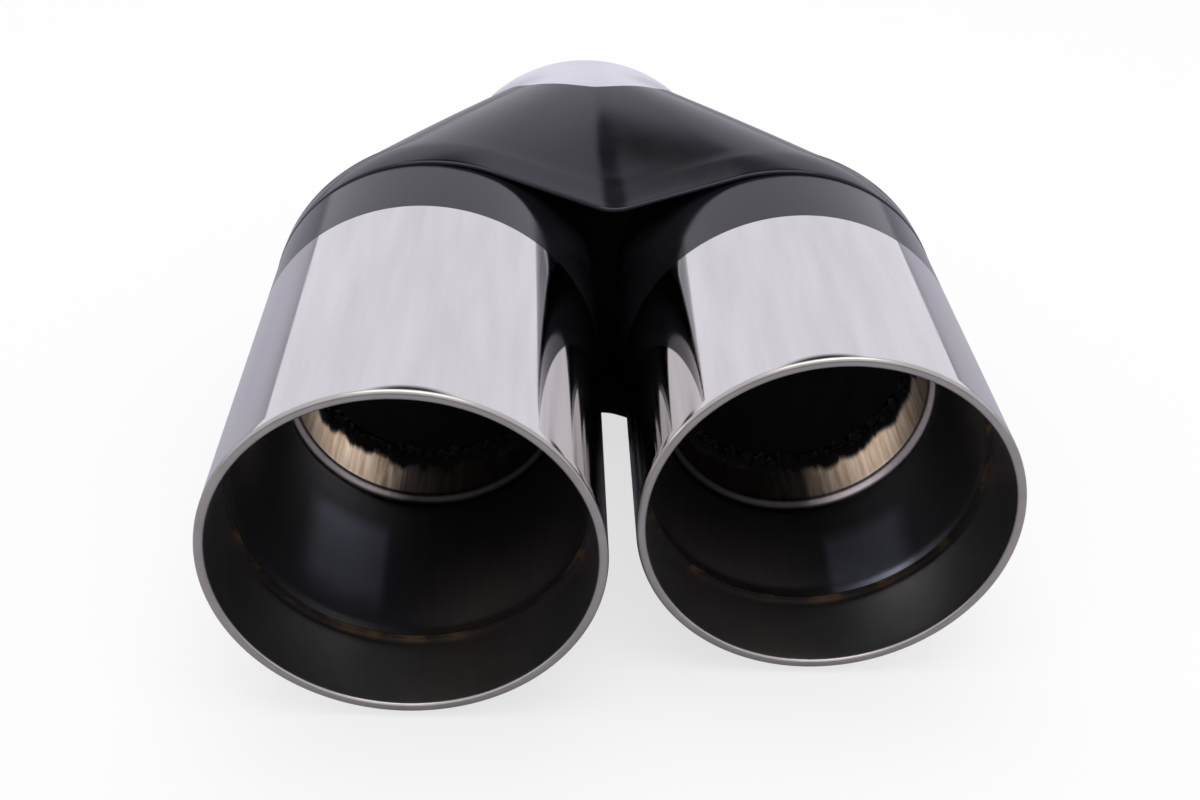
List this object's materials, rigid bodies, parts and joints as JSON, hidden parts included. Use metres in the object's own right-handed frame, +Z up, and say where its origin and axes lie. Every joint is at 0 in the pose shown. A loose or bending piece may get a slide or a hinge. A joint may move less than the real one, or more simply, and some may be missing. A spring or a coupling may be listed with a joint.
{
  "type": "exhaust tip",
  "caption": "Twin-outlet exhaust tip: staggered round outlets of polished stainless steel on a dark-coated Y-shaped body, with a round socket that slides over the exhaust pipe.",
  "frame": {"origin": "centre of the inlet socket's rear end", "axes": "+Y leaves the inlet socket the way the exhaust pipe is pulled out, both outlets face -Y, +Z is up as the tip lies, the longer outlet is on the -X side"},
  "size_m": [0.1588, 0.1669, 0.0792],
  "materials": {
    "polished_stainless": "mirror-polished stainless steel",
    "dark_coating": "satin charcoal heat-resistant coating on steel",
    "liner_stainless": "bright spun stainless steel with straw heat tint at the neck",
    "inner_steel": "sooty mill-finish stainless steel",
    "weld_metal": "rough weld bead, dark with scale"
  },
  "bodies": {
    "root": {"left_outlet_sleeve": "polished_stainless", "right_outlet_sleeve": "polished_stainless", "body_upper_half": "dark_coating", "body_lower_half": "dark_coating", "left_liner": "liner_stainless", "right_liner": "liner_stainless", "front_plate": "inner_steel", "left_branch_pipe": "inner_steel", "right_branch_pipe": "inner_steel", "left_neck_weld": "weld_metal", "right_neck_weld": "weld_metal"}
  },
  "joints": []
}
